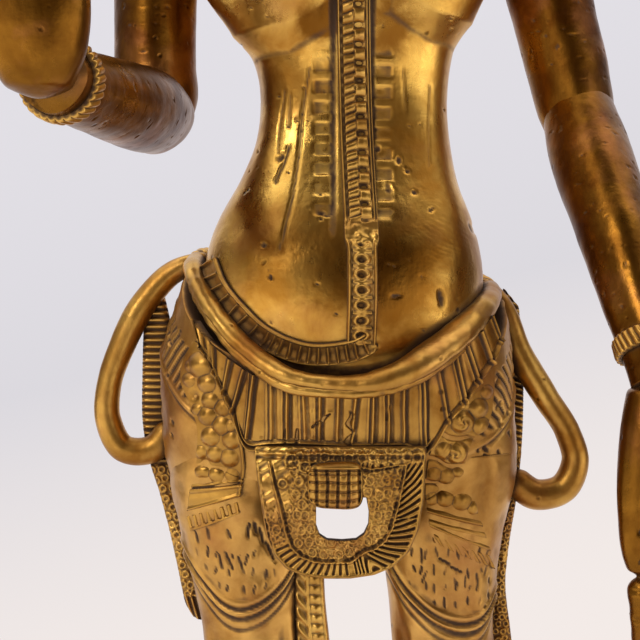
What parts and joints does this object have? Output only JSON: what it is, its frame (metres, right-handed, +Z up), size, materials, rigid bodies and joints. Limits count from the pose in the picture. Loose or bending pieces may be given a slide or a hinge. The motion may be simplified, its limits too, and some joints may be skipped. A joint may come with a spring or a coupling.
{
  "type": "brass standing deity statue",
  "caption": "Slim standing deity figure in cast brass with raised and lowered hands, tall tiered crown, sash loops, lotus pedestal and stepped square plinth.",
  "frame": {"origin": "middle of the plinth's underside, on the surface it stands on", "axes": "+Z up; the figure faces -Y; +X is the figure's own left, the viewer's right"},
  "size_m": [0.15, 0.15, 0.612],
  "materials": {
    "polished_brass": "hand-filed and polished, dull in patches, with small casting pits",
    "cloth_brass": "chased and lightly oxidised, dark in the cut lines",
    "ornament_brass": "chased relief, dark brown in the recesses and rubbed bright on the high spots",
    "crown_brass": "chased relief, oxidised in the recesses",
    "pedestal_brass": "cast, satin, oxidised between the petals",
    "plinth_brass": "cast, satin, with file marks",
    "brass_dowels": "turned",
    "steel_fixings": "plain machined steel"
  },
  "bodies": {
    "root": {"apron_knot": "ornament_brass", "apron_sash": "ornament_brass", "base_plinth": "plinth_brass", "centre_ribbon": "ornament_brass", "chest_band": "ornament_brass", "crown": "crown_brass", "elbow_dowels": "brass_dowels", "foot_nuts": "steel_fixings", "foot_washers": "steel_fixings", "hair": "crown_brass", "head": "polished_brass", "hips": "cloth_brass", "left_anklet": "ornament_brass", "left_armlet": "ornament_brass", "left_bracelet": "ornament_brass", "left_earring": "ornament_brass", "left_foot": "polished_brass", "left_forearm": "polished_brass", "left_hand": "polished_brass", "left_leg": "cloth_brass", "left_sash_loop": "ornament_brass", "left_side_ribbon": "ornament_brass", "left_thigh_swag": "ornament_brass", "left_upper_arm": "polished_brass", "lotus_pedestal": "pedestal_brass", "neck_dowel": "brass_dowels", "necklace": "ornament_brass", "pleat_band": "ornament_brass", "plinth_screws": "steel_fixings", "right_anklet": "ornament_brass", "right_armlet": "ornament_brass", "right_bracelet": "ornament_brass", "right_earring": "ornament_brass", "right_foot": "polished_brass", "right_forearm": "polished_brass", "right_hand": "polished_brass", "right_leg": "cloth_brass", "right_sash_loop": "ornament_brass", "right_side_ribbon": "ornament_brass", "right_thigh_swag": "ornament_brass", "right_upper_arm": "polished_brass", "shoulder_dowels": "brass_dowels", "torso": "polished_brass", "waist_belt": "ornament_brass", "wrist_dowels": "brass_dowels"}
  },
  "joints": []
}
